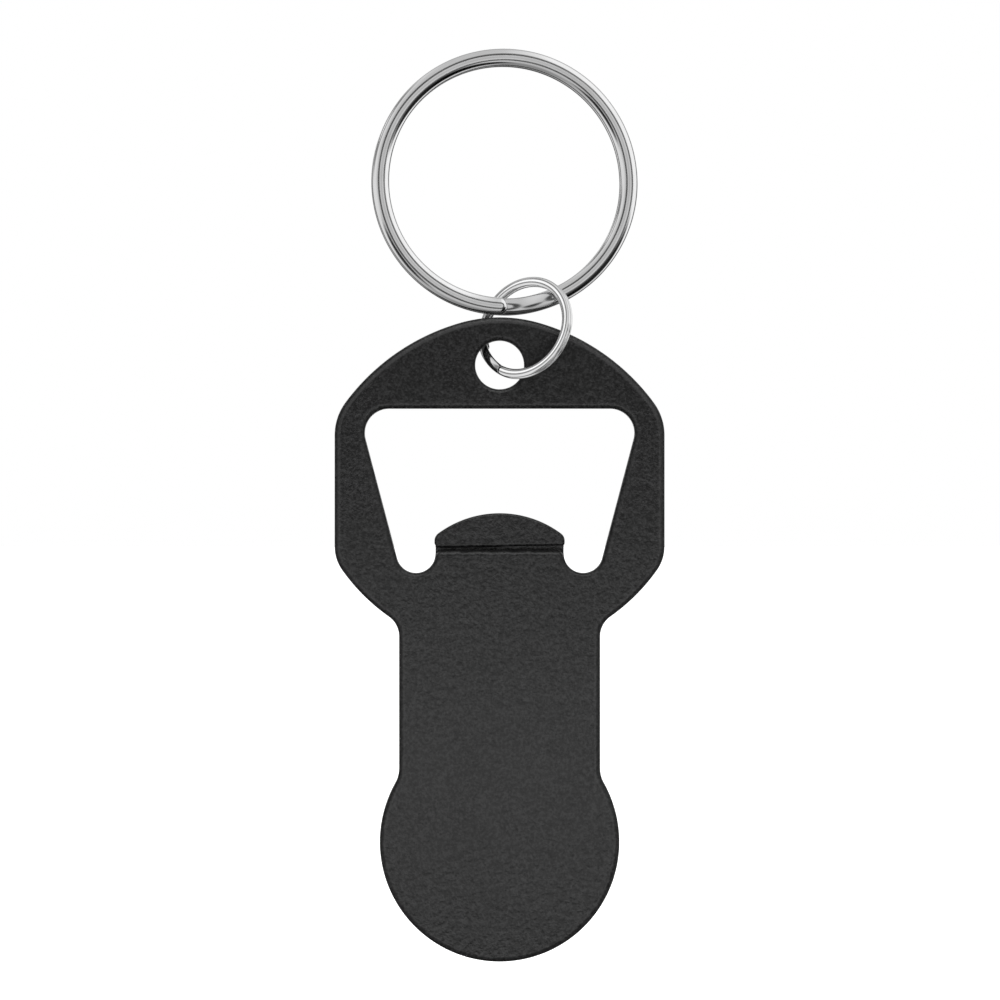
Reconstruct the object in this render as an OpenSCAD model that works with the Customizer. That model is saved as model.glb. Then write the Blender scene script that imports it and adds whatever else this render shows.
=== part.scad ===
// Keychain bottle opener: a flat coated metal plate on a small split ring and a large key ring.
// The plate hangs upright: X to the right, Y towards the back, Z up. Millimetres.
// The origin is on the plate's back face, on its centre line, halfway up its length.
// Each piece is drawn flat, front face up, and then stood upright by upright().

/* [Plate] */
// Overall length of the plate
plate_length = 62.5; // [58:0.5:70]
// Width across the rounded head
head_width = 32; // [30:0.5:36]
// Thickness of the plate and of the coin end
plate_thickness = 2; // [1.6:0.1:2.3]
// Width of the neck between head and coin end
neck_width = 19.5; // [16:0.5:21]
// Diameter of the coin end
coin_diameter = 23.25; // [22:0.25:25.75]

/* [Head outline] */
// Radius of the crown at the very top
crown_radius = 14; // [10:0.5:16]
// Radius of the long curves from crown to shoulder
flank_radius = 21; // [19:0.5:24]
// Radius of the upper shoulder corners
shoulder_radius = 5.3; // [4:0.1:7]
// Radius of the curve under the head
underside_radius = 18.7; // [17:0.1:20]
// Radius of the lower corners of the head
lower_corner_radius = 3.9; // [3:0.1:5]
// Radius of the fillet from head to neck
head_fillet_radius = 2.35; // [1.5:0.05:3]
// Radius of the fillet from neck to coin end
coin_fillet_radius = 3.05; // [2:0.05:4]

/* [Cap opening] */
// Width of the bottle-cap opening at its top corners
opening_width = 26.2; // [24:0.1:27]
// Height of the opening's top edge above the middle of the plate
opening_top = 22.4; // [21:0.1:23]
// Radius of the opening's top corners
opening_corner_radius = 2.35; // [1.5:0.05:3]
// Radius of the round slot ends beside the tongue
slot_radius = 1.9; // [1.5:0.1:2.2]
// Height of the slot ends' centres above the middle of the plate
slot_height = 8.35; // [7:0.05:9]
// Width of the tongue that carries the lip
tongue_width = 12.45; // [11:0.05:13]
// Height of the lip's top above the middle of the plate
lip_top = 12.25; // [11:0.05:13]
// Radius of the half-moon lip's arc
lip_radius = 10.05; // [8:0.05:12]
// Thickness of the thin lip, flush with the back face
lip_thickness = 1.1; // [0.8:0.1:1.4]
// Height of the step where the lip meets the full plate
step_height = 8.6; // [8:0.1:9]

/* [Ring hole] */
// Radius of the hole for the link ring
hole_radius = 2.37; // [2:0.01:2.6]
// Height of the hole's centre above the middle of the plate
hole_height = 26.64; // [26:0.02:27]
// Chamfer on both rims of the hole
hole_chamfer = 0.35; // [0.1:0.05:0.5]

/* [Link ring] */
// Outside diameter of the small split ring
link_diameter = 10.36; // [10:0.02:10.6]
// Width of its wire, measured along the radius
link_wire_width = 0.9; // [0.7:0.05:1]
// Thickness of one turn of its wire
link_turn_thickness = 0.38; // [0.3:0.02:0.4]
// Lean of the ring out of the plate's plane, in degrees
link_lean = 36.5; // [35:0.5:40]
// Direction in which it leans forward, in degrees from +X
link_lean_direction = -30; // [-35:1:-25]

/* [Key ring] */
// Outside diameter of the large split ring
key_diameter = 26; // [25:0.1:27]
// Width of its wire, measured along the radius
key_wire_width = 1.68; // [1.4:0.02:1.7]
// Thickness of one turn of its wire
key_turn_thickness = 0.87; // [0.7:0.01:0.88]
// Turn of the ring about its upright axis, in degrees
key_turn = 6; // [5:0.5:7]

/* [Hidden] */
$fn = 96;

half_length = plate_length / 2;
half_head = head_width / 2;
half_neck = neck_width / 2;
half_tongue = tongue_width / 2;
coin_radius = coin_diameter / 2;
coin_centre = [0, coin_radius - half_length];

// Height of the shoulder corners' centres above the middle of the plate
shoulder_height = 19.83;
// Height of the lower head corners' centres above the middle of the plate
lower_corner_height = 9;

crown_centre = [0, half_length - crown_radius];
shoulder_centre = [half_head - shoulder_radius, shoulder_height];
lower_corner_centre = [half_head - lower_corner_radius, lower_corner_height];
underside_centre = [0, lower_corner_height + leg(underside_radius - lower_corner_radius,
                                                 lower_corner_centre.x)];
flank_centre = meeting_point(crown_centre, flank_radius - crown_radius,
                             shoulder_centre, flank_radius - shoulder_radius);

// Fillets touch the neck's straight side and, on the other side, a round of the outline
head_fillet_centre = [half_neck + head_fillet_radius,
                      underside_centre.y - leg(underside_radius + head_fillet_radius,
                                               half_neck + head_fillet_radius)];
coin_fillet_centre = [half_neck + coin_fillet_radius,
                      coin_centre.y + leg(coin_radius + coin_fillet_radius,
                                          half_neck + coin_fillet_radius)];

corner_centre = [opening_width / 2 - opening_corner_radius, opening_top - opening_corner_radius];
slot_centre = [half_tongue + slot_radius, slot_height];
// Direction square to the straight line that touches a top corner and a slot end
slant = heading(corner_centre - slot_centre)
        - acos((slot_radius - opening_corner_radius) / norm(corner_centre - slot_centre));

// The lip bulges a little past the tongue where the metal was squeezed thin
half_lip = half_tongue + 0.1;
lip_bottom = 9;
lip_corner_radius = 0.4;
lip_centre = [0, lip_top - lip_radius];

link_centre = [2.47, 30.25, 1.2];
key_centre = [0.5, 44.5, -0.3];
// Forward nod of the key ring about the X axis, in degrees
key_nod = -2;

// Where each wire's front end lies on its ring, and how much of the ring the step between turns takes
link_tip_angle = -122;
link_ramp_angle = 35;
key_tip_angle = -89;
key_ramp_angle = 24;
link_turn_gap = 0.04;
key_turn_gap = 0.06;
link_steps_per_turn = 48;
key_steps_per_turn = 60;
end_steps = 4;

// A cut passes this far beyond the faces it opens
margin = 1;
// Rounds are drawn this much larger, so that they cross the lines and curves they touch
seam = 0.002;

function unit(a) = [cos(a), sin(a)];
function heading(v) = atan2(v.y, v.x);
function leg(hypotenuse, side) = sqrt(hypotenuse * hypotenuse - side * side);

// The meeting point of two circles on the right-hand side, looking from the first centre to the second
function meeting_point(c1, r1, c2, r2) =
    let (d = norm(c2 - c1),
         turn = acos((r1 * r1 + d * d - r2 * r2) / (2 * r1 * d)))
    c1 + r1 * unit(heading(c2 - c1) - turn);

// A slice of a disc from angle a to angle b
module sector(centre, radius, a, b) {
    far = 2 * radius;
    intersection() {
        translate(centre) circle(radius);
        polygon([centre,
                 centre + far * unit(a),
                 centre + far / cos((b - a) / 2) * unit((a + b) / 2),
                 centre + far * unit(b)]);
    }
}

// Material that fills the corner between the neck and a round centred on the centre line
module neck_fillet(centre, radius, round_centre) {
    difference() {
        polygon([[0, centre.y], centre, round_centre]);
        translate(centre) circle(radius + seam);
    }
}

module both_sides() {
    children();
    mirror([1, 0, 0]) children();
}

module plate_outline() {
    translate(crown_centre) circle(crown_radius + seam);
    both_sides() {
        sector(flank_centre, flank_radius,
               heading(shoulder_centre - flank_centre), heading(crown_centre - flank_centre));
        translate(shoulder_centre) circle(shoulder_radius + seam);
        translate(lower_corner_centre) circle(lower_corner_radius + seam);
        neck_fillet(head_fillet_centre, head_fillet_radius, underside_centre);
        neck_fillet(coin_fillet_centre, coin_fillet_radius, coin_centre);
    }
    side_drop = heading(lower_corner_centre - underside_centre);
    sector(underside_centre, underside_radius, -180 - side_drop, side_drop);
    translate([-half_head, lower_corner_height])
        square([head_width, shoulder_height - lower_corner_height]);
    translate([-half_neck, coin_centre.y])
        square([neck_width, underside_centre.y - coin_centre.y]);
    translate(coin_centre) circle(coin_radius);
}

// The window that a bottle cap goes into, with the tongue left standing between its two slots
module cap_opening() {
    difference() {
        union() {
            both_sides() {
                translate(corner_centre) circle(opening_corner_radius + seam);
                translate(slot_centre) circle(slot_radius + seam);
                polygon([[0, opening_top],
                         [corner_centre.x, opening_top],
                         corner_centre,
                         corner_centre + opening_corner_radius * unit(slant),
                         slot_centre + slot_radius * unit(slant),
                         slot_centre,
                         [0, slot_centre.y]]);
            }
        }
        translate([-half_tongue, slot_height - slot_radius])
            square([tongue_width, step_height - slot_height + slot_radius]);
    }
}

module half_moon() {
    translate([-half_tongue, slot_height - slot_radius])
        square([tongue_width, lip_bottom + lip_corner_radius - slot_height + slot_radius]);
    both_sides()
        translate([half_lip - lip_corner_radius, lip_bottom + lip_corner_radius])
            circle(lip_corner_radius + seam);
    intersection() {
        translate(lip_centre) circle(lip_radius);
        translate([-half_lip, lip_bottom + lip_corner_radius])
            square([2 * half_lip, lip_radius]);
    }
}

module ring_hole() {
    translate([0, hole_height, -margin])
        cylinder(r = hole_radius, h = plate_thickness + 2 * margin);
    for (face = [0, 1])
        translate([0, hole_height, face * plate_thickness])
            mirror([0, 0, face])
                translate([0, 0, -margin])
                    cylinder(r1 = hole_radius + hole_chamfer + margin,
                             r2 = hole_radius - margin,
                             h = hole_chamfer + 2 * margin);
}

// One stamped and coated plate: head, cap opening with thin lip, neck and coin end
module opener_plate() {
    color([0.05, 0.05, 0.055])
        upright() {
            difference() {
                linear_extrude(plate_thickness)
                    difference() {
                        plate_outline();
                        cap_opening();
                    }
                ring_hole();
            }
            linear_extrude(lip_thickness) half_moon();
        }
}

// Cross-section of the ring wire about its own middle, with its edges taken off
function wire_section(width, height, edge) =
    let (x = width / 2, y = height / 2)
    [[x, y - edge], [x - edge, y], [edge - x, y], [-x, y - edge],
     [-x, edge - y], [edge - x, -y], [x - edge, -y], [x, edge - y]];

// Sections of a wire end that is rounded in plan: [how far in from the tip, share of full width],
// both as shares, from the narrow tip inwards
end_shares = [for (i = [1 : end_steps])
    [1 - cos(90 * i / end_steps), sin(90 * i / end_steps)]];

// How far a split ring's wire stands in front of the ring's middle plane, at an angle from its tip
function wire_level(angle, level, ramp_angle) =
    level * cos(180 * min(max((angle - 360 + ramp_angle) / ramp_angle, 0), 1));

// A split ring lying flat about the origin: two turns of flat wire, one behind the other, joined by
// a step. The front turn starts at the tip angle and runs anticlockwise. The wire is one sweep.
module split_ring(diameter, width, turn_thickness, gap, tip_angle, ramp_angle, steps_per_turn) {
    radius = (diameter - width) / 2;
    level = (turn_thickness + gap) / 2;
    edge = turn_thickness / 5;
    length = 720 - ramp_angle;
    end_angle = asin(width / 2 / radius);
    steps = ceil(steps_per_turn * length / 360);
    step = (length - 2 * end_angle) / steps;
    // Each station is [angle from the tip, share of the full width]
    stations = concat(
        [for (e = end_shares) [end_angle * e[0], e[1]]],
        [for (i = [1 : steps - 1]) [end_angle + step * i, 1]],
        [for (i = [end_steps - 1 : -1 : 0])
            [length - end_angle * end_shares[i][0], end_shares[i][1]]]);
    corners = len(wire_section(1, 1, 0));
    last = len(stations) - 1;
    points = [for (s = stations)
        let (angle = tip_angle + s[0], lift = wire_level(s[0], level, ramp_angle))
        for (p = wire_section(width * s[1], turn_thickness, edge))
            [(radius + p.x) * cos(angle), (radius + p.x) * sin(angle), p.y + lift]];
    sides = [for (i = [0 : last - 1], k = [0 : corners - 1])
        let (n = i * corners + k, m = i * corners + (k + 1) % corners)
        each [[n, m, n + corners], [m, m + corners, n + corners]]];
    first_end = [for (k = [corners - 1 : -1 : 0]) k];
    last_end = [for (k = [0 : corners - 1]) last * corners + k];
    polyhedron(points, concat([first_end, last_end], sides));
}

// The small split ring that goes through the plate's hole and round the key ring
module link_ring() {
    color([0.78, 0.78, 0.8])
        upright()
            translate(link_centre)
                rotate(a = link_lean,
                       v = [sin(link_lean_direction), -cos(link_lean_direction), 0])
                    split_ring(link_diameter, link_wire_width, link_turn_thickness,
                               link_turn_gap, link_tip_angle, link_ramp_angle,
                               link_steps_per_turn);
}

// The large split ring that keys go on; its wire is wound the other way round
module key_ring() {
    color([0.78, 0.78, 0.8])
        upright()
            translate(key_centre)
                rotate([key_nod, 0, 0])
                    rotate([0, key_turn, 0])
                        mirror([0, 1, 0])
                            split_ring(key_diameter, key_wire_width, key_turn_thickness,
                                       key_turn_gap, -key_tip_angle, key_ramp_angle,
                                       key_steps_per_turn);
}

// Stands a piece up that was drawn flat: its front face then looks towards -Y
module upright() {
    rotate([90, 0, 0]) children();
}

opener_plate();
link_ring();
key_ring();
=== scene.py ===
import math

import bpy
import numpy as np
from mathutils import Matrix, Vector
from mathutils.geometry import delaunay_2d_cdt


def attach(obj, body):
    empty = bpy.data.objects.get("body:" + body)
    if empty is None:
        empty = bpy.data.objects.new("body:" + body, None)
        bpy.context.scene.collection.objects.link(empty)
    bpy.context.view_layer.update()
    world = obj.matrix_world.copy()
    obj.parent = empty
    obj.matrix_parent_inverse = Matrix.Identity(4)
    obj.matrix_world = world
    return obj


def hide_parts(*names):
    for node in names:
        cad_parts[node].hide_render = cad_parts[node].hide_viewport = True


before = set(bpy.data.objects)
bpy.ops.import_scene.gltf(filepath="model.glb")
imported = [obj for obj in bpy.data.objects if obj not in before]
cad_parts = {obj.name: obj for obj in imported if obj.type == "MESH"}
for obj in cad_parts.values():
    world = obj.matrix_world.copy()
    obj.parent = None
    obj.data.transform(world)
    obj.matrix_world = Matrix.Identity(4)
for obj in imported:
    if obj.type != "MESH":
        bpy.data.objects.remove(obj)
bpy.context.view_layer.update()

MM = 0.001

# ---------------------------------------------------------------- sizes of the plate
THICKNESS = 2.0
HALF_LENGTH = 31.25
HALF_HEAD = 16.0
HALF_NECK = 9.75
COIN_RADIUS = 11.625
COIN_CENTRE = (0.0, COIN_RADIUS - HALF_LENGTH)
CROWN_RADIUS = 14.0
FLANK_RADIUS = 21.0
SHOULDER_RADIUS = 5.3
SHOULDER_CENTRE = (HALF_HEAD - SHOULDER_RADIUS, 19.83)
UNDERSIDE_RADIUS = 18.7
CORNER_RADIUS = 3.9
CORNER_CENTRE = (HALF_HEAD - CORNER_RADIUS, 9.0)
HEAD_FILLET = 2.35
COIN_FILLET = 3.05
HOLE_RADIUS = 2.37
HOLE_CENTRE = (0.0, 26.64)

OPENING_TOP = 22.4
OPENING_CORNER = 2.35
OPENING_CORNER_CENTRE = (13.1 - OPENING_CORNER, OPENING_TOP - OPENING_CORNER)
HALF_TONGUE = 6.225
SLOT_RADIUS = 1.9
SLOT_CENTRE = (HALF_TONGUE + SLOT_RADIUS, 8.35)
HALF_LIP = HALF_TONGUE + 0.1
LIP_TOP = 12.25
LIP_RADIUS = 10.05
LIP_CORNER = 0.4
LIP_CORNER_HEIGHT = 9.4
LIP_THICKNESS = 1.1
STEP_HEIGHT = 8.6

# Radii of the roundings: plate front, lip front, whole back
EDGE = 0.5
LIP_EDGE = 0.28
BACK_EDGE = 0.35

# The crease between the step and the lip: its floor's height, its upper side in the plan, how much
# that side climbs to the right, and the widths of its wall below the step and its slope below the lip
CREASE_LEVEL = 0.7
CREASE_TOP = 9.0
CREASE_TILT = 0.0165
STEP_WALL = 0.08
CREASE_SLOPE = 0.5
# The rounded corners at the ends of the step, in the plan
STEP_CORNER = 0.7
# The blend from the lip's straight side into its arc
LIP_BLEND = 0.9

# The painted highlight, a paler line along the front's rounded edges: where it starts, is brightest and
# ends, inside the edge
PAINTED_HIGHLIGHT_DEPTHS = (0.27, 0.42, 0.6)
# The rounding stops just short of a vertical slope, so that its gradient stays finite
STEEPEST = 0.99995


def step_line(x):
    """Height in the plan of the step's edge, which the press has left slightly uneven."""
    fade = np.clip((HALF_TONGUE - STEP_CORNER - np.abs(x)) / 0.8, 0, 1)
    wave = 0.03 * np.sin(2.7 * x + 0.6) + 0.02 * np.sin(6.3 * x + 2.0)
    return STEP_HEIGHT + fade * wave


def leg(hypotenuse, side):
    return math.sqrt(hypotenuse * hypotenuse - side * side)


def heading(a, b):
    return math.degrees(math.atan2(b[1] - a[1], b[0] - a[0]))


def arc(centre, radius, start, end, spacing=0.3):
    """Points along an arc, its end point left out, so that arcs and lines chain into a loop."""
    count = max(2, int(math.ceil(abs(math.radians(end - start)) * radius / spacing)))
    angles = np.radians(np.linspace(start, end, count, endpoint=False))
    return np.c_[centre[0] + radius * np.cos(angles), centre[1] + radius * np.sin(angles)]


def line(a, b, spacing=0.5):
    """Points along a line, its end point left out."""
    count = max(1, int(math.ceil(math.dist(a, b) / spacing)))
    share = np.linspace(0, 1, count, endpoint=False)[:, None]
    return np.array(a) + (np.array(b) - np.array(a)) * share


def on_circle(centre, radius, angle):
    return (centre[0] + radius * math.cos(math.radians(angle)),
            centre[1] + radius * math.sin(math.radians(angle)))


def mirrored(right):
    """A closed loop from its right-hand half, which starts and ends on the centre line."""
    left = right[::-1] * np.array([-1.0, 1.0])
    keep = np.abs(left[:, 0]) > 1e-6
    return np.vstack([right, left[keep]])


# ---------------------------------------------------------------- outlines of the plate
def plate_loop():
    """The outer outline, clockwise from the crown's top."""
    crown = (0.0, HALF_LENGTH - CROWN_RADIUS)
    gap = math.dist(crown, SHOULDER_CENTRE)
    r1 = FLANK_RADIUS - CROWN_RADIUS
    r2 = FLANK_RADIUS - SHOULDER_RADIUS
    turn = math.degrees(math.acos((r1 * r1 + gap * gap - r2 * r2) / (2 * r1 * gap)))
    flank = on_circle(crown, r1, heading(crown, SHOULDER_CENTRE) - turn)
    underside = (0.0, CORNER_CENTRE[1] + leg(UNDERSIDE_RADIUS - CORNER_RADIUS, CORNER_CENTRE[0]))
    head_x = HALF_NECK + HEAD_FILLET
    head = (head_x, underside[1] - leg(UNDERSIDE_RADIUS + HEAD_FILLET, head_x))
    coin_x = HALF_NECK + COIN_FILLET
    coin = (coin_x, COIN_CENTRE[1] + leg(COIN_RADIUS + COIN_FILLET, coin_x))
    a_crown = heading(flank, crown)
    a_shoulder = heading(flank, SHOULDER_CENTRE)
    a_corner = heading(underside, CORNER_CENTRE)
    a_head = heading(underside, head)
    a_coin = heading(COIN_CENTRE, coin)
    right = np.vstack([
        arc(crown, CROWN_RADIUS, 90, a_crown),
        arc(flank, FLANK_RADIUS, a_crown, a_shoulder),
        arc(SHOULDER_CENTRE, SHOULDER_RADIUS, a_shoulder, 0),
        line((HALF_HEAD, SHOULDER_CENTRE[1]), (HALF_HEAD, CORNER_CENTRE[1])),
        arc(CORNER_CENTRE, CORNER_RADIUS, 0, a_corner),
        arc(underside, UNDERSIDE_RADIUS, a_corner, a_head),
        arc(head, HEAD_FILLET, a_head + 180, 180, 0.2),
        line((HALF_NECK, head[1]), (HALF_NECK, coin[1])),
        arc(coin, COIN_FILLET, 180, a_coin + 180, 0.2),
        arc(COIN_CENTRE, COIN_RADIUS, a_coin, -90),
        [[0.0, -HALF_LENGTH]],
    ])
    return mirrored(right)


def slant_angle():
    """Direction square to the line that touches a top corner and a slot end."""
    run = math.dist(OPENING_CORNER_CENTRE, SLOT_CENTRE)
    return (heading(SLOT_CENTRE, OPENING_CORNER_CENTRE)
            - math.degrees(math.acos((SLOT_RADIUS - OPENING_CORNER) / run)))


def lip_half():
    """The lip's right-hand outline from its lower corner up to its top."""
    centre = (0.0, LIP_TOP - LIP_RADIUS)
    corner = (HALF_LIP - LIP_CORNER, LIP_CORNER_HEIGHT)
    start = -math.degrees(math.acos((HALF_TONGUE - corner[0]) / LIP_CORNER))
    blend_x = HALF_LIP - LIP_BLEND
    blend_centre = (blend_x, centre[1] + leg(LIP_RADIUS - LIP_BLEND, blend_x))
    a_blend = heading(centre, blend_centre)
    return np.vstack([
        arc(corner, LIP_CORNER, start, 0, 0.05),
        line((HALF_LIP, LIP_CORNER_HEIGHT), (HALF_LIP, blend_centre[1]), 0.1),
        arc(blend_centre, LIP_BLEND, 0, a_blend, 0.08),
        arc(centre, LIP_RADIUS, a_blend, 90, 0.15),
        [[0.0, LIP_TOP]],
    ])


def opening_loop():
    """The cap opening with the tongue and lip standing in it."""
    slant = slant_angle()
    upper = np.vstack([
        line((0.0, OPENING_TOP), (OPENING_CORNER_CENTRE[0], OPENING_TOP)),
        arc(OPENING_CORNER_CENTRE, OPENING_CORNER, 90, slant, 0.2),
        line(on_circle(OPENING_CORNER_CENTRE, OPENING_CORNER, slant),
             on_circle(SLOT_CENTRE, SLOT_RADIUS, slant)),
        arc(SLOT_CENTRE, SLOT_RADIUS, slant, -180, 0.15),
        line((HALF_TONGUE, SLOT_CENTRE[1]), (HALF_TONGUE, lip_half()[0][1]), 0.05),
    ])
    return mirrored(np.vstack([upper, lip_half()]))


def hole_loop():
    return arc(HOLE_CENTRE, HOLE_RADIUS, 0, 360, 0.2)


def full_thickness_opening():
    """The edge of the full-thickness metal around the opening: the tongue ends at the step."""
    slant = slant_angle()
    corner_x = HALF_TONGUE - STEP_CORNER
    upper = np.vstack([
        line((0.0, OPENING_TOP), (OPENING_CORNER_CENTRE[0], OPENING_TOP)),
        arc(OPENING_CORNER_CENTRE, OPENING_CORNER, 90, slant, 0.1),
        line(on_circle(OPENING_CORNER_CENTRE, OPENING_CORNER, slant),
             on_circle(SLOT_CENTRE, SLOT_RADIUS, slant)),
        arc(SLOT_CENTRE, SLOT_RADIUS, slant, -180, 0.05),
        arc((corner_x, STEP_HEIGHT - STEP_CORNER), STEP_CORNER, 0, 90, 0.03),
        [[0.0, STEP_HEIGHT]],
    ])
    loop = mirrored(upper)
    across = np.arange(-corner_x, corner_x + 0.01, 0.08)[::-1]
    middle = np.flatnonzero((loop[:, 0] == 0) & (loop[:, 1] == STEP_HEIGHT))[0]
    return np.vstack([loop[:middle], np.c_[across, step_line(across)][1:-1], loop[middle + 1:]])


def lip_loop():
    """The thin lip's outline, closed along the crease."""
    right = lip_half()
    corner = np.array([HALF_TONGUE - 0.02, CREASE_TOP + CREASE_TILT * HALF_TONGUE])
    left = right[::-1] * np.array([-1.0, 1.0])
    left_corner = np.array([-corner[0], CREASE_TOP - CREASE_TILT * HALF_TONGUE])
    right = right[right[:, 1] > corner[1] + 0.03]
    left = left[(left[:, 1] > left_corner[1] + 0.03) & (np.abs(left[:, 0]) > 1e-6)]
    return np.vstack([[corner], right, left, [left_corner]])


# ---------------------------------------------------------------- distances in the plan
def distance_to(loops, points):
    """The distance from each point to the nearest side of any loop."""
    starts = np.vstack(loops)
    ends = np.vstack([np.roll(loop, -1, axis=0) for loop in loops])
    sides = ends - starts
    squares = np.maximum((sides ** 2).sum(1), 1e-18)
    best = np.empty(len(points))
    for i in range(0, len(points), 512):
        offset = points[i:i + 512, None, :] - starts[None]
        share = np.clip((offset * sides[None]).sum(2) / squares[None], 0, 1)
        away = offset - share[:, :, None] * sides[None]
        best[i:i + 512] = np.sqrt((away ** 2).sum(2).min(1))
    return best


def inside(loop, points):
    """True for each point inside the loop, by counting the sides it passes under."""
    result = np.zeros(len(points), bool)
    a = loop
    b = np.roll(loop, -1, axis=0)
    for i in range(0, len(points), 512):
        x = points[i:i + 512, 0][:, None]
        z = points[i:i + 512, 1][:, None]
        spans = (a[None, :, 1] > z) != (b[None, :, 1] > z)
        rise = b[None, :, 1] - a[None, :, 1]
        rise = np.where(np.abs(rise) < 1e-15, 1e-15, rise)
        crossing = a[None, :, 0] + (z - a[None, :, 1]) * (b[None, :, 0] - a[None, :, 0]) / rise
        result[i:i + 512] = (spans & (x < crossing)).sum(1) % 2 == 1
    return result


def signed(outer, holes, points):
    """Signed distance: negative in the metal, which is inside outer and outside the holes."""
    metal = inside(outer, points)
    for hole in holes:
        metal &= ~inside(hole, points)
    away = distance_to([outer, *holes], points)
    return np.where(metal, -away, away)


def rounded(s, level, edge, floor, wall):
    """Height and slope of a face at this level whose edge is rounded, at signed distance s.

    Outside the edge it falls to the floor's level over the width of the wall."""
    t = np.clip((s + edge) / edge, 0, STEEPEST)
    bend = np.sqrt(1 - t * t)
    height = level - edge + edge * bend
    slope = np.where(s + edge > 0, -t / bend, 0.0)
    fall = (level - edge - floor) / wall
    outside = s > 0
    height = np.where(outside, level - edge - s * fall, height)
    slope = np.where(outside, -fall, slope)
    return height, slope


def gradient_of(field, points, step=0.004):
    """Unit direction in which the field grows fastest at each point."""
    dx = (field(points + [step, 0]) - field(points - [step, 0])) / (2 * step)
    dz = (field(points + [0, step]) - field(points - [0, step])) / (2 * step)
    g = np.c_[dx, dz]
    length = np.maximum(np.linalg.norm(g, axis=1), 1e-9)
    return g / length[:, None]


OUTER = plate_loop()
OPENING = opening_loop()
HOLE = hole_loop()
FULL_OPENING = full_thickness_opening()
LIP = lip_loop()


def full_distance(points):
    return signed(OUTER, [FULL_OPENING, HOLE], points)


def lip_distance(points):
    return signed(LIP, [], points)


def metal_distance(points):
    return signed(OUTER, [OPENING, HOLE], points)


def front_height(points):
    """Height of the front surface above the back face, and its gradient in the plan."""
    s1 = full_distance(points)
    h1, d1 = rounded(s1, THICKNESS, EDGE, CREASE_LEVEL, STEP_WALL)
    s2 = lip_distance(points)
    h2, d2 = rounded(s2, LIP_THICKNESS, LIP_EDGE, CREASE_LEVEL, CREASE_SLOPE)
    gradient = np.zeros((len(points), 2))
    height = np.full(len(points), CREASE_LEVEL)
    for h, d, s, field in ((h1, d1, s1, full_distance), (h2, d2, s2, lip_distance)):
        taken = h > height
        height = np.where(taken, h, height)
        gradient[taken] = 0
        bent = taken & (np.abs(d) > 1e-9)
        if bent.any():
            gradient[bent] = gradient_of(field, points[bent]) * d[bent][:, None]
    return height, gradient


def back_height(points):
    """Height of the back surface above the back face's plane, and its gradient in the plan."""
    s = metal_distance(points)
    t = np.clip((s + BACK_EDGE) / BACK_EDGE, 0, STEEPEST)
    bend = np.sqrt(1 - t * t)
    gradient = np.zeros((len(points), 2))
    bent = t > 1e-9
    gradient[bent] = gradient_of(metal_distance, points[bent]) * (t / bend)[bent][:, None]
    return BACK_EDGE - BACK_EDGE * bend, gradient


def painted_edge_highlight(points):
    """Strength of the painted highlight along the front's rounded edges, a paler coat colour, from 0 to
    1.

    It is most on the edges that face up and higher on the plate, less round the opening, and nothing
    round the lip and hole."""
    outer = np.interp(distance_to([OUTER], points), PAINTED_HIGHLIGHT_DEPTHS, [0, 1, 0])
    opening = np.interp(distance_to([OPENING], points), PAINTED_HIGHLIGHT_DEPTHS, [0, 0.22, 0])
    # Painted light from above: the highlight is stronger on edges that face up, and fades towards the
    # coin end
    near = outer > 0
    up = gradient_of(metal_distance, points[near])[:, 1]
    outer[near] *= np.clip(0.5 + 0.6 * up, 0.3, 1.0)
    fade = np.interp(points[:, 1], [-8, 8], [0.4, 1.0])
    return (outer + opening * edge_sizes(points, 1.0, 0.0)) * fade


# ---------------------------------------------------------------- the plate's mesh
def outward_normals(loop, metal_inside):
    """Unit normals of a loop that point out of the metal."""
    before = loop - np.roll(loop, 1, axis=0)
    after = np.roll(loop, -1, axis=0) - loop
    before /= np.linalg.norm(before, axis=1)[:, None]
    after /= np.linalg.norm(after, axis=1)[:, None]
    along = before + after
    along /= np.linalg.norm(along, axis=1)[:, None]
    normals = np.c_[along[:, 1], -along[:, 0]]
    area = (loop[:, 0] * np.roll(loop[:, 1], -1) - np.roll(loop[:, 0], -1) * loop[:, 1]).sum()
    if area < 0:
        normals = -normals
    return normals if metal_inside else -normals


LOOPS = [(OUTER, outward_normals(OUTER, True)),
         (OPENING, outward_normals(OPENING, False)),
         (HOLE, outward_normals(HOLE, False))]
# Where the rings of vertices lie inside each edge, as shares of its rounding
RING_SHARES = [0.0, 0.02, 0.08, 0.17, 0.3, 0.47, 0.7, 1.0, 1.3]


def edge_sizes(loop, plain, thin):
    """The rounding at each point of a loop: plain on the plate, thin round the lip."""
    on_lip = (np.abs(loop[:, 0]) < HALF_LIP + 0.01) & (loop[:, 1] < LIP_TOP + 0.01)
    share = np.clip((loop[:, 1] - 8.4) / 0.6, 0, 1) * on_lip
    return plain + (thin - plain) * share


def step_grid():
    """Points across the step, the crease and the lip's lower edge."""
    low = np.array([-0.55, -0.5, -0.42, -0.34, -0.25, -0.17, -0.1, -0.05, -0.02, 0.0, 0.03, 0.06,
                    STEP_WALL])
    high = np.array([0.0, 0.015, 0.04, 0.08, 0.13, 0.19, LIP_EDGE, LIP_EDGE + 0.05])
    columns = np.arange(-6.2, 6.21, 0.1)
    points = []
    for x in columns:
        crease = CREASE_TOP + CREASE_TILT * x
        step = float(step_line(x))
        middle = np.linspace(step + STEP_WALL, crease, 7)[1:-1]
        for z in [*(step + low), *middle, *(crease + high)]:
            points.append((x, z))
    return np.array(points)


def flat_grid(spacing=1.6):
    """Points in staggered rows over the plate's whole rectangle."""
    points = []
    rows = np.arange(-HALF_LENGTH, HALF_LENGTH, spacing * 0.866)
    for i, z in enumerate(rows):
        shift = spacing / 2 if i % 2 else 0.0
        for x in np.arange(-HALF_HEAD, HALF_HEAD, spacing):
            points.append((x + shift, z))
    return np.array(points)


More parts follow.
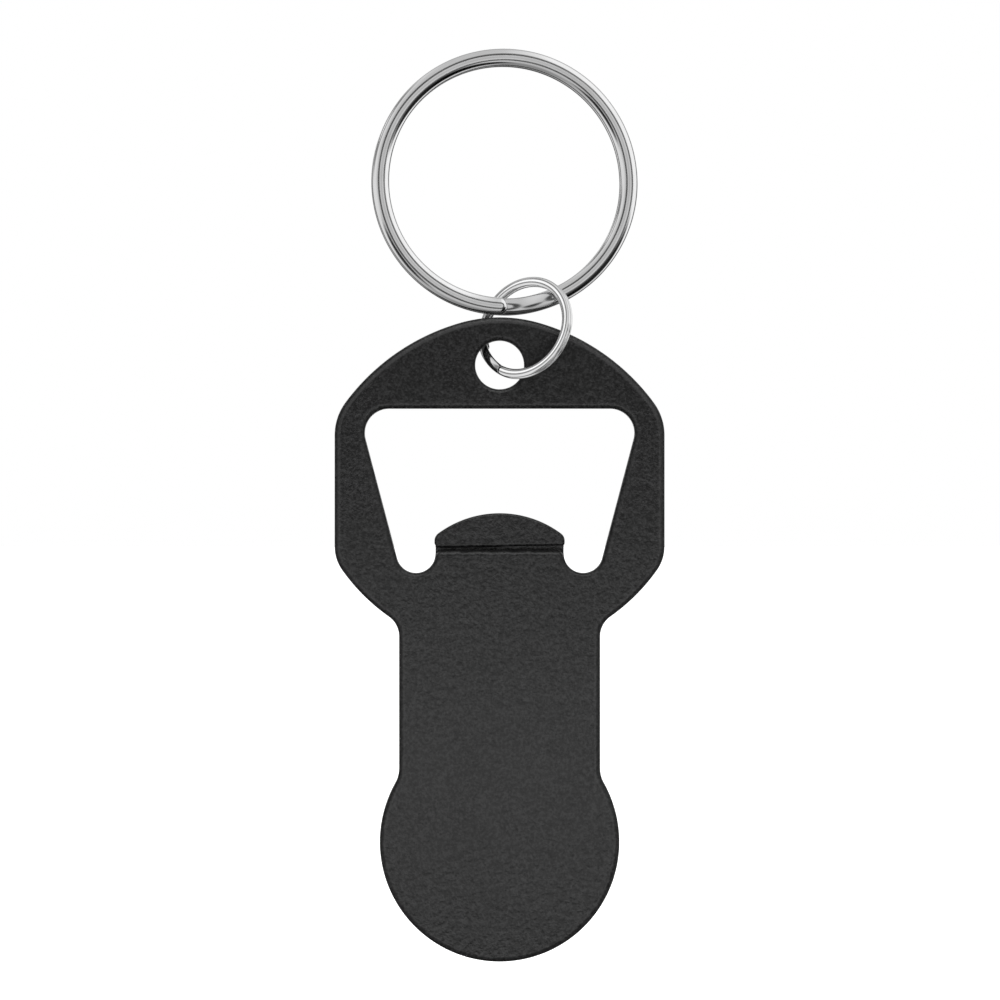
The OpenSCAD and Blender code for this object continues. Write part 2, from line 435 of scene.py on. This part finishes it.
def sheet(sizes, extra):
    """Triangles over the metal: the points in the plan, the faces, the vertices along the loops in
    order, and how many each loop has."""
    points = [loop for loop, _ in LOOPS]
    counts = [len(loop) for loop, _ in LOOPS]
    edges = []
    base = 0
    for count in counts:
        edges += [(base + i, base + (i + 1) % count) for i in range(count)]
        base += count
    boundary = base
    for share in RING_SHARES[1:]:
        for (loop, normals), size in zip(LOOPS, sizes):
            points.append(loop - normals * (size * share)[:, None])
            count = len(loop)
            edges += [(base + i, base + (i + 1) % count) for i in range(count)]
            base += count
    points.append(extra)
    flat = np.vstack(points)
    found = delaunay_2d_cdt([Vector(p) for p in flat], edges, [], 0, 1e-7)
    plan = np.array([tuple(v) for v in found[0]])
    faces = np.array([tuple(f) for f in found[2]])
    middles = plan[faces].mean(1)
    keep = metal_distance(middles) < 0
    faces = faces[keep]
    where = {}
    for new, olds in enumerate(found[3]):
        for old in olds:
            where[old] = new
    rim = [where[i] for i in range(boundary)]
    return plan, faces, rim, counts


def plate_mesh():
    """The plate's front and back sheets, lifted to their heights and joined by walls at the edges."""
    metal_front = [edge_sizes(loop, EDGE, LIP_EDGE) for loop, _ in LOOPS]
    metal_back = [np.full(len(loop), BACK_EDGE) for loop, _ in LOOPS]
    steps = step_grid()
    steps = steps[metal_distance(steps) < -0.47]
    plain = flat_grid()
    plain = plain[metal_distance(plain) < -1.0]
    near_step = (np.abs(plain[:, 0]) < 6.4) & (plain[:, 1] > 7.7) & (plain[:, 1] < 9.8)
    inner_points = np.vstack([steps, plain[~near_step]])
    front, front_faces, front_rim, counts = sheet(metal_front, inner_points)
    back, back_faces, back_rim, _ = sheet(metal_back, plain)
    rim_normals = np.vstack([normals for _, normals in LOOPS])
    vertices = []
    normals = []
    for plan, rim, heights, side in ((front, front_rim, front_height, 1.0),
                                     (back, back_rim, back_height, -1.0)):
        height, gradient = heights(plan)
        if side > 0:
            normal = np.c_[-gradient[:, 0], np.full(len(plan), -1.0), -gradient[:, 1]]
        else:
            normal = np.c_[gradient[:, 0], np.full(len(plan), 1.0), gradient[:, 1]]
        normal /= np.linalg.norm(normal, axis=1)[:, None]
        normal[rim] = np.c_[rim_normals[:, 0], np.zeros(len(rim)), rim_normals[:, 1]]
        vertices.append(np.c_[plan[:, 0], -height, plan[:, 1]])
        normals.append(normal)
    shift = len(front)
    faces = []
    for face in front_faces:
        a, b, c = (vertices[0][i] for i in face)
        turned = np.cross(b - a, c - a)[1] > 0
        faces.append(tuple(face[::-1]) if turned else tuple(face))
    for face in back_faces:
        a, b, c = (vertices[1][i] for i in face)
        turned = np.cross(b - a, c - a)[1] < 0
        faces.append(tuple(int(i) + shift for i in (face[::-1] if turned else face)))
    base = 0
    all_vertices = np.vstack(vertices)
    all_normals = np.vstack(normals)
    for count in counts:
        for i in range(count):
            j = (i + 1) % count
            f0, f1 = front_rim[base + i], front_rim[base + j]
            b0, b1 = back_rim[base + i] + shift, back_rim[base + j] + shift
            face = (f0, b0, b1, f1)
            corner = all_vertices[list(face)]
            wanted = all_normals[f0]
            if np.dot(np.cross(corner[1] - corner[0], corner[3] - corner[0]), wanted) < 0:
                face = face[::-1]
            faces.append(face)
        base += count
    mesh = bpy.data.meshes.new("opener_plate_skin")
    mesh.from_pydata((all_vertices * MM).tolist(), [], [tuple(int(i) for i in f) for f in faces])
    mesh.polygons.foreach_set("use_smooth", [True] * len(mesh.polygons))
    mesh.normals_split_custom_set_from_vertices(all_normals.tolist())
    # The painted highlight on the front's rounded edges, stored as a strength per vertex; the back gets
    # none
    coat = mesh.attributes.new("painted_edge_highlight", "FLOAT", "POINT")
    highlight_strength = np.r_[painted_edge_highlight(front), np.zeros(len(back))]
    coat.data.foreach_set("value", highlight_strength.astype(np.float32))
    mesh.validate()
    return mesh


# ---------------------------------------------------------------- the split rings
def wire_level(angle, level, ramp):
    """How far the wire stands in front of the ring's middle plane, at an angle from its tip."""
    share = min(max((angle - 360 + ramp) / ramp, 0), 1)
    return level * math.cos(math.pi * share)


def crowned(count, width, height, power):
    """A wire section with crowned faces and soft edges, as (radial, axial) offsets."""
    points = []
    for i in range(count):
        a = 2 * math.pi * (i + 0.5) / count
        c, s = math.cos(a), math.sin(a)
        r = (abs(c) ** power + abs(s) ** power) ** (-1 / power)
        points.append((r * c * width / 2, r * s * height / 2))
    return np.array(points)


def split_ring_mesh(name, diameter, width, thickness, gap, tip, ramp, power, placing, mirror=False):
    """Two turns of flat wire, one behind the other, joined by a step, as one closed sweep.

    The tip and the ramp are angles in degrees. A power above 2 makes the wire's section boxier."""
    radius = (diameter - width) / 2
    level = (thickness + gap) / 2
    length = 720 - ramp
    around = 40
    end_steps = 9
    end_angle = math.degrees(width * 0.42 / radius)
    steps = 460
    bends = [math.radians(90 * (i + 0.35) / (end_steps + 0.35)) for i in range(end_steps)]
    ends = [(end_angle * (1 - math.cos(bend)), math.sin(bend)) for bend in bends]
    stations = (ends
                + [(angle, 1.0) for angle in np.linspace(end_angle, length - end_angle, steps)]
                + [(length - angle, share) for angle, share in ends[::-1]])
    points = []
    along = []
    for angle, share in stations:
        section = crowned(around, width * share, thickness * share ** 0.55, power)
        lift = wire_level(angle, level, ramp)
        turn = math.radians(tip + angle)
        for radial, axial in section:
            y = (radius + radial) * math.sin(turn)
            points.append((((radius + radial) * math.cos(turn)), -y if mirror else y, axial + lift))
        along.append(math.radians(angle) * radius * MM)
    faces = []
    last = len(stations) - 1
    for i in range(last):
        for k in range(around):
            m = (k + 1) % around
            face = (i * around + k, i * around + m, (i + 1) * around + m, (i + 1) * around + k)
            faces.append(face)
    faces.append(tuple(range(around - 1, -1, -1)))
    faces.append(tuple(last * around + k for k in range(around)))
    if not mirror:
        faces = [f[::-1] for f in faces]
    mesh = bpy.data.meshes.new(name)
    mesh.from_pydata([tuple(placing @ Vector(p) * MM) for p in points], [], faces)
    edge_map = mesh.uv_layers.new(name="along_wire")
    perimeter = 2 * (width + thickness) * MM * 0.85
    values = np.zeros((len(mesh.loops), 2))
    for polygon in mesh.polygons:
        loops = list(polygon.loop_indices)
        if len(loops) != 4:
            for n in loops:
                v = mesh.loops[n].vertex_index
                values[n] = (along[v // around], 0.0)
            continue
        k = min(mesh.loops[n].vertex_index % around for n in loops)
        ks = {mesh.loops[n].vertex_index % around for n in loops}
        wraps = ks == {0, around - 1}
        for n in loops:
            v = mesh.loops[n].vertex_index
            j = v % around
            if wraps and j == 0:
                j = around
            values[n] = (along[v // around], j / around * perimeter)
    edge_map.data.foreach_set("uv", values.ravel())
    mesh.polygons.foreach_set("use_smooth", [True] * len(mesh.polygons))
    mesh.update()
    return mesh


def upright():
    """Stands a piece up that is described lying flat with its front face up."""
    return Matrix.Rotation(math.radians(90), 4, "X")


def link_placing():
    lean, direction = math.radians(36.5), math.radians(-30)
    axis = Vector((math.sin(direction), -math.cos(direction), 0))
    return (upright() @ Matrix.Translation((2.47, 30.25, 1.2))
            @ Matrix.Rotation(lean, 4, axis))


def key_placing():
    return (upright() @ Matrix.Translation((0.5, 44.5, -0.3))
            @ Matrix.Rotation(math.radians(-2), 4, "X")
            @ Matrix.Rotation(math.radians(6), 4, "Y"))


# ---------------------------------------------------------------- materials
class Nodes:
    """Short ways to add shader nodes to a material or a world."""

    def __init__(self, tree):
        self.tree = tree
        self.tree.nodes.clear()

    def add(self, kind, **settings):
        node = self.tree.nodes.new(kind)
        for key, value in settings.items():
            setattr(node, key, value)
        return node

    def link(self, source, target):
        self.tree.links.new(source, target)

    def put(self, socket, value):
        if hasattr(value, "links"):
            self.link(value, socket)
        else:
            socket.default_value = value

    def maths(self, operation, a, b=0.0):
        node = self.add("ShaderNodeMath", operation=operation)
        self.put(node.inputs[0], a)
        self.put(node.inputs[1], b)
        return node.outputs[0]

    def ramp(self, value, low, high, to_low, to_high):
        node = self.add("ShaderNodeMapRange", interpolation_type="SMOOTHSTEP")
        self.put(node.inputs["Value"], value)
        node.inputs["From Min"].default_value = low
        node.inputs["From Max"].default_value = high
        node.inputs["To Min"].default_value = to_low
        node.inputs["To Max"].default_value = to_high
        return node.outputs["Result"]

    def noise(self, vector, scale, detail=2.0, roughness=0.5):
        node = self.add("ShaderNodeTexNoise")
        self.link(vector, node.inputs["Vector"])
        node.inputs["Scale"].default_value = scale
        node.inputs["Detail"].default_value = detail
        node.inputs["Roughness"].default_value = roughness
        return node.outputs["Fac"]

    def bump(self, height, strength, distance, normal=None):
        node = self.add("ShaderNodeBump")
        node.inputs["Strength"].default_value = strength
        node.inputs["Distance"].default_value = distance
        self.link(height, node.inputs["Height"])
        if normal is not None:
            self.link(normal, node.inputs["Normal"])
        return node.outputs["Normal"]


def powder_coat():
    """Satin black powder coat: a fine grain with a slight ripple, a sheen that varies a little, and a
    painted highlight, a paler line along the front's rounded edges."""
    material = bpy.data.materials.new("satin_black_coat")
    material.use_nodes = True
    n = Nodes(material.node_tree)
    place = n.add("ShaderNodeTexCoord").outputs["Object"]
    grain = n.noise(place, 4200, 2.0, 0.6)
    ripple = n.noise(place, 1500, 2.0, 0.5)
    patches = n.noise(place, 160, 2.0, 0.5)
    shader = n.add("ShaderNodeBsdfPrincipled")
    tint = n.add("ShaderNodeMix", data_type="RGBA")
    n.link(n.ramp(grain, 0.38, 0.68, 0.0, 1.0), tint.inputs["Factor"])
    tint.inputs["A"].default_value = (0.001, 0.001, 0.001, 1)
    tint.inputs["B"].default_value = (0.010, 0.010, 0.0102, 1)
    # Painted highlight: the base colour turns paler along the front's rounded edges, by the highlight
    # strength on the mesh
    rim = n.add("ShaderNodeMix", data_type="RGBA")
    thin = n.add("ShaderNodeAttribute", attribute_name="painted_edge_highlight").outputs["Fac"]
    n.link(thin, rim.inputs["Factor"])
    n.link(tint.outputs["Result"], rim.inputs["A"])
    rim.inputs["B"].default_value = (0.034, 0.034, 0.034, 1)
    n.link(rim.outputs["Result"], shader.inputs["Base Color"])
    sheen = n.ramp(ripple, 0.3, 0.7, 0.34, 0.40)
    rough = n.maths("ADD", sheen, n.ramp(patches, 0.3, 0.7, -0.01, 0.01))
    n.link(rough, shader.inputs["Roughness"])
    shader.inputs["IOR"].default_value = 1.5
    shader.inputs["Specular IOR Level"].default_value = 0.22
    normal = n.bump(ripple, 0.9, 0.0001)
    normal = n.bump(grain, 0.9, 0.00005, normal)
    n.link(normal, shader.inputs["Normal"])
    out = n.add("ShaderNodeOutputMaterial")
    n.link(shader.outputs["BSDF"], out.inputs["Surface"])
    return material


def polished_wire(name, shade, roughness, line_scale):
    """Bright plated wire with faint lines along it from drawing, and a slightly uneven polish."""
    material = bpy.data.materials.new(name)
    material.use_nodes = True
    n = Nodes(material.node_tree)
    wire = n.add("ShaderNodeUVMap", uv_map="along_wire").outputs["UV"]
    place = n.add("ShaderNodeTexCoord").outputs["Object"]
    stretched = n.add("ShaderNodeMapping")
    n.link(wire, stretched.inputs["Vector"])
    stretched.inputs["Scale"].default_value = (120, line_scale, 1)
    lines = n.noise(stretched.outputs["Vector"], 1.0, 2.0, 0.5)
    cloud = n.noise(place, 350, 2.0, 0.5)
    shader = n.add("ShaderNodeBsdfPrincipled")
    shader.inputs["Metallic"].default_value = 1.0
    tint = n.add("ShaderNodeMix", data_type="RGBA")
    n.link(n.ramp(cloud, 0.3, 0.7, 0.0, 1.0), tint.inputs["Factor"])
    tint.inputs["A"].default_value = (shade * 0.94, shade * 0.94, shade * 0.94, 1)
    tint.inputs["B"].default_value = (shade, shade, shade * 1.005, 1)
    n.link(tint.outputs["Result"], shader.inputs["Base Color"])
    n.link(n.ramp(lines, 0.3, 0.75, roughness * 0.8, roughness * 1.5), shader.inputs["Roughness"])
    normal = n.bump(lines, 0.25, 0.00001)
    normal = n.bump(cloud, 0.15, 0.00004, normal)
    n.link(normal, shader.inputs["Normal"])
    out = n.add("ShaderNodeOutputMaterial")
    n.link(shader.outputs["BSDF"], out.inputs["Surface"])
    return material


def floor_white():
    """A matt white that glows a little, so that the floor runs into the white behind it."""
    material = bpy.data.materials.new("pale_floor")
    material.use_nodes = True
    n = Nodes(material.node_tree)
    shader = n.add("ShaderNodeBsdfPrincipled")
    shader.inputs["Base Color"].default_value = (0.86, 0.86, 0.86, 1)
    shader.inputs["Roughness"].default_value = 0.9
    shader.inputs["Specular IOR Level"].default_value = 0.1
    shader.inputs["Emission Color"].default_value = (1, 1, 1, 1)
    shader.inputs["Emission Strength"].default_value = 0.75
    out = n.add("ShaderNodeOutputMaterial")
    n.link(shader.outputs["BSDF"], out.inputs["Surface"])
    return material


# ---------------------------------------------------------------- pieces
def piece(mesh, name, material, body, node):
    """Puts a mesh in the scene on its body, in place of the solid that it details."""
    obj = bpy.data.objects.new(name, mesh)
    bpy.context.scene.collection.objects.link(obj)
    mesh.materials.append(material)
    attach(obj, body)
    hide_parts(node)
    return obj


plate = piece(plate_mesh(), "coated_plate", powder_coat(), "opener_plate", "opener_plate")
piece(split_ring_mesh("small_ring_wire", diameter=10.36, width=0.9, thickness=0.38, gap=0.04,
                      tip=-122, ramp=35, power=2.05, placing=link_placing()),
      "small_split_ring", polished_wire("bright_small_wire", shade=0.84, roughness=0.08, line_scale=9000),
      "link_ring", "link_ring")
piece(split_ring_mesh("large_ring_wire", diameter=26.0, width=1.68, thickness=0.87, gap=0.06,
                      tip=89, ramp=24, power=2.05, placing=key_placing(), mirror=True),
      "large_split_ring", polished_wire("bright_large_wire", shade=0.78, roughness=0.10, line_scale=6000),
      "key_ring", "key_ring")


# ---------------------------------------------------------------- floor, light, camera
def floor():
    """A wide pale sheet about 5 mm under the coin end, left out of the reflections."""
    size = 4.0
    height = -0.0362
    mesh = bpy.data.meshes.new("floor_sheet")
    corners = [(-size, -size), (size, -size), (size, size), (-size, size)]
    mesh.from_pydata([(x, y, height) for x, y in corners], [], [(0, 1, 2, 3)])
    mesh.materials.append(floor_white())
    obj = bpy.data.objects.new("studio_floor", mesh)
    bpy.context.scene.collection.objects.link(obj)
    obj.visible_glossy = False
    return obj


def softbox(name, place, target, width, height, power):
    """A rectangular light that faces its target."""
    light = bpy.data.lights.new(name, "AREA")
    light.shape = "RECTANGLE"
    light.size = width
    light.size_y = height
    light.energy = power
    obj = bpy.data.objects.new(name, light)
    bpy.context.scene.collection.objects.link(obj)
    obj.location = place
    obj.rotation_euler = (Vector(target) - Vector(place)).to_track_quat("-Z", "Y").to_euler()
    obj.visible_camera = False
    return obj


def shine_only_on(light, name, objects):
    """Limits a light to these objects, so that the polished wire shows the tent alone."""
    lit = bpy.data.collections.new(name)
    for obj in objects:
        lit.objects.link(obj)
    light.light_linking.receiver_collection = lit


def studio_world():
    """The studio that the gloss shows: a light tent, paler on its right and left, with dark patches,
    a framed window for the camera, and behind the object a dimmer backdrop with three bright spots.

    The camera itself sees plain white."""
    world = bpy.data.worlds.new("studio")
    bpy.context.scene.world = world
    world.use_nodes = True
    n = Nodes(world.node_tree)
    direction = n.add("ShaderNodeTexCoord").outputs["Generated"]
    split = n.add("ShaderNodeSeparateXYZ")
    n.link(direction, split.inputs[0])
    x, z = split.outputs["X"], split.outputs["Z"]
    facing = n.maths("MULTIPLY", split.outputs["Y"], -1.0)

    def towards(place):
        node = n.add("ShaderNodeVectorMath", operation="DOT_PRODUCT")
        n.link(direction, node.inputs[0])
        node.inputs[1].default_value = Vector(place).normalized()
        return node.outputs["Value"]

    panels = n.maths("ADD", n.ramp(x, 0.1, 0.45, 0.66, 1.15), n.ramp(x, -0.6, -0.2, 0.25, 0.0))
    panels = n.maths("ADD", panels, n.ramp(z, -0.75, -0.35, -0.35, 0.0))
    panels = n.maths("MULTIPLY", panels, n.ramp(facing, -0.35, 0.15, 0.05, 1.0))
    glow = n.maths("MULTIPLY", n.ramp(z, 0.25, 0.7, 0.0, 0.4), n.ramp(facing, -0.35, 0.15, 1.0, 0.0))
    total = n.maths("ADD", panels, glow)
    window = towards((0.24, -0.963, 0.122))
    lamp = (-0.80, -0.26, 0.54)
    # Each patch: its direction, the cosines at its outer and inner edge, and the light left inside
    patches = (((0.637, -0.669, -0.383), 0.90, 0.965, 0.015),
               ((0.435, -0.65, -0.62), 0.93, 0.975, 0.02),
               ((-0.429, -0.839, -0.336), 0.955, 0.99, 0.08),
               ((-0.325, -0.92, -0.208), 0.982, 0.996, 0.1),
               (lamp, 0.88, 0.96, 0.3))
    total = n.maths("MULTIPLY", total, n.ramp(window, 0.875, 0.93, 1.0, 0.13))
    for place, outer, inner, level in patches:
        total = n.maths("MULTIPLY", total, n.ramp(towards(place), outer, inner, 1.0, level))
    total = n.maths("ADD", total, n.ramp(towards(lamp), 0.985, 0.994, 0.0, 0.95))
    behind = n.ramp(facing, -0.8, -0.5, 0.55, 0.0)
    total = n.maths("ADD", total, n.maths("MULTIPLY", behind, n.ramp(z, -0.6, 0.1, 0.35, 1.0)))
    for place in ((0.62, 0.72, 0.3), (-0.62, 0.72, 0.3), (0.0, 0.97, 0.25)):
        total = n.maths("ADD", total, n.ramp(towards(place), 0.955, 0.985, 0.0, 0.6))
    # The light that comes in at the window, and the darker lens in its middle
    total = n.maths("ADD", total, n.ramp(window, 0.965, 0.978, 0.0, 0.6))
    total = n.maths("ADD", total, n.ramp(window, 0.995, 0.998, 0.0, -0.15))
    tent_light = n.add("ShaderNodeBackground")
    white = n.add("ShaderNodeBackground")
    n.link(total, tent_light.inputs["Strength"])
    white.inputs["Strength"].default_value = 1.0
    tent_light.inputs["Color"].default_value = (1, 1, 1, 1)
    white.inputs["Color"].default_value = (1, 1, 1, 1)
    seen = n.add("ShaderNodeLightPath")
    mix = n.add("ShaderNodeMixShader")
    n.link(seen.outputs["Is Camera Ray"], mix.inputs["Fac"])
    n.link(tent_light.outputs[0], mix.inputs[1])
    n.link(white.outputs[0], mix.inputs[2])
    out = n.add("ShaderNodeOutputWorld")
    n.link(mix.outputs[0], out.inputs["Surface"])


def camera():
    """Looks straight at the plate's front, from about the middle of the whole object's height."""
    data = bpy.data.cameras.new("main_camera")
    data.lens = 150
    data.sensor_width = 36
    data.clip_start = 0.01
    data.clip_end = 20
    obj = bpy.data.objects.new("main_camera", data)
    bpy.context.scene.collection.objects.link(obj)
    plate_front = -0.002
    view_width = 0.096875
    distance = view_width * data.lens / data.sensor_width
    obj.location = (0.00004, plate_front - distance, 0.01353)
    obj.rotation_euler = (math.radians(90), 0, 0)
    bpy.context.scene.camera = obj


ground = floor()
low_light = softbox("low_front_light", place=(0.0, -0.1, -0.022), target=(0.0, 0.0, -0.022),
                    width=0.12, height=0.05, power=0.06)
shine_only_on(low_light, "lit_by_low_light", [plate])
top_light = softbox("top_light", place=(0.0, -0.25, 0.45), target=(0.0, 0.0, 0.02),
                    width=0.5, height=0.3, power=1.8)
shine_only_on(top_light, "lit_by_top_light", [plate, ground])
studio_world()
camera()

scene = bpy.context.scene
scene.view_settings.view_transform = "Standard"

bpy.context.view_layer.update()
